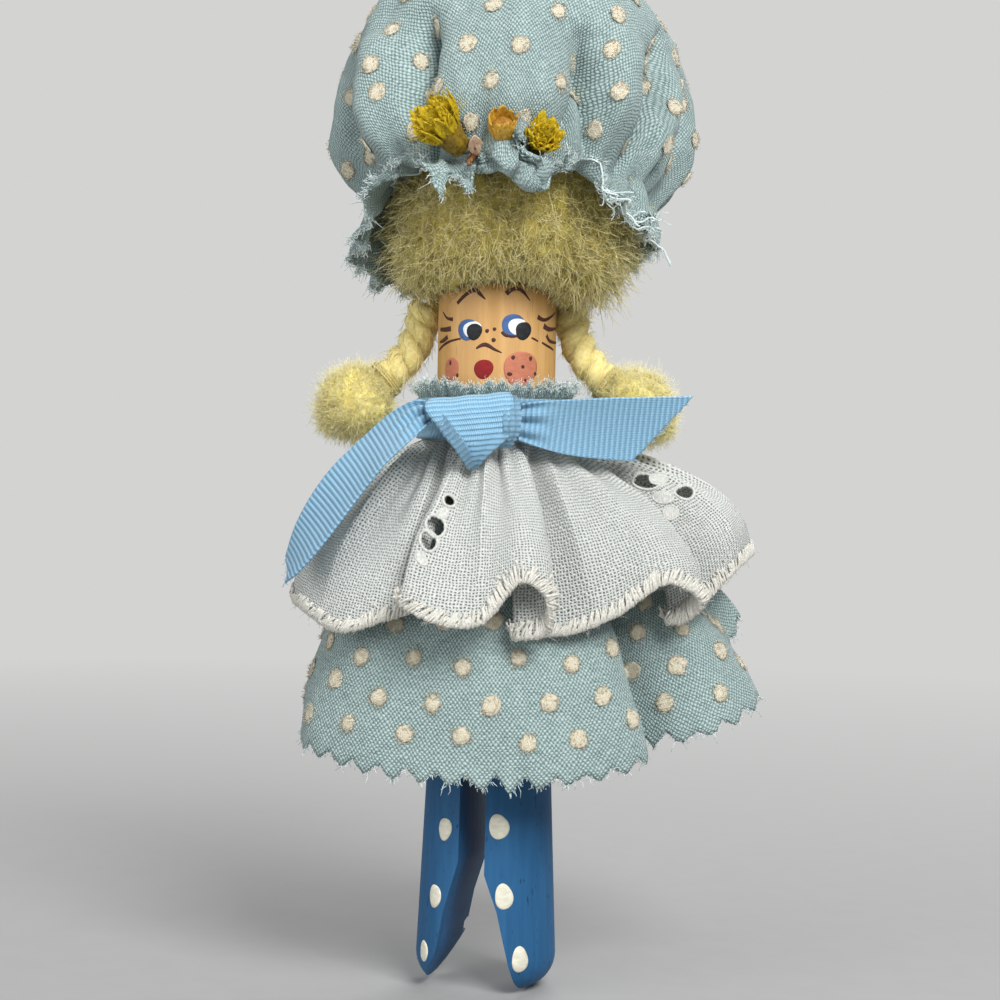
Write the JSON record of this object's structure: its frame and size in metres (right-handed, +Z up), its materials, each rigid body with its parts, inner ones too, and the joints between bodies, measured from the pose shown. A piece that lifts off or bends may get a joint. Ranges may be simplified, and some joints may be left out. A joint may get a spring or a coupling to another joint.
{
  "type": "clothespin doll",
  "caption": "Wooden clothespin doll with painted face and legs, gathered dotted dress, eyelet frill, tied ribbon, plaited wool hair and a puffed mob cap.",
  "frame": {"origin": "on the pin's axis at the level of the foot tips, in the middle of the slot's mouth", "axes": "+Z up along the pin to the cap, -Y out of the painted face, +X to the right of someone who looks at the face"},
  "size_m": [0.0634, 0.0486, 0.1414],
  "materials": {
    "turned_wood": "sanded birch, painted blue on the legs",
    "dotted_cotton": "plain-weave cotton with flocked dots",
    "eyelet_cotton": "open-weave cotton with eyelets",
    "edging_thread": "whipped cotton thread",
    "grosgrain": "ribbed ribbon",
    "fleece_hair": "soft pile fleece",
    "wool_yarn": "twisted soft roving",
    "tie_thread": "cotton thread",
    "fibre_fill": "loose polyester fibre",
    "sewing_thread": "cotton thread",
    "dried_button": "dried button flower heads",
    "dried_petal": "dried papery petals",
    "dried_stem": "dried stems"
  },
  "bodies": {
    "doll": {"clothespin": "turned_wood", "dress": "dotted_cotton", "dress_thread": "sewing_thread", "eyelet_frill": "eyelet_cotton", "frill_edging": "edging_thread", "ribbon_band": "grosgrain", "ribbon_knot": "grosgrain", "hair_fringe": "fleece_hair", "mob_cap": "dotted_cotton", "cap_stuffing": "fibre_fill", "cap_thread": "sewing_thread", "flower_left": "dried_button", "flower_right": "dried_button", "flower_bud": "dried_petal", "flower_petal": "dried_petal", "flower_stems": "dried_stem"},
    "left_plait": {"plait_left": "wool_yarn", "tuft_left": "wool_yarn", "plait_tie_left": "tie_thread"},
    "right_plait": {"plait_right": "wool_yarn", "tuft_right": "wool_yarn", "plait_tie_right": "tie_thread"},
    "left_tail": {"ribbon_tail_left": "grosgrain"},
    "right_tail": {"ribbon_tail_right": "grosgrain"}
  },
  "joints": [
    {"name": "left_plait_swing", "type": "hinge", "parent": "doll", "child": "left_plait", "pos_m": [-0.0107, 0.00125, 0.091], "axis": [-0.2419, 0.9703, 0], "range_deg": [0, 30]},
    {"name": "right_plait_swing", "type": "hinge", "parent": "doll", "child": "right_plait", "pos_m": [0.00886, 0.00613, 0.091], "axis": [0.2419, -0.9703, 0], "range_deg": [0, 30]},
    {"name": "left_tail_lift", "type": "hinge", "parent": "doll", "child": "left_tail", "pos_m": [-0.00445, -0.01399, 0.076], "axis": [0, 0, 1], "range_deg": [0, 30], "stiffness_Nm_per_rad": 0.00002},
    {"name": "right_tail_lift", "type": "hinge", "parent": "doll", "child": "right_tail", "pos_m": [0.00584, -0.01143, 0.076], "axis": [0, 0, -1], "range_deg": [0, 30], "stiffness_Nm_per_rad": 0.00002}
  ]
}
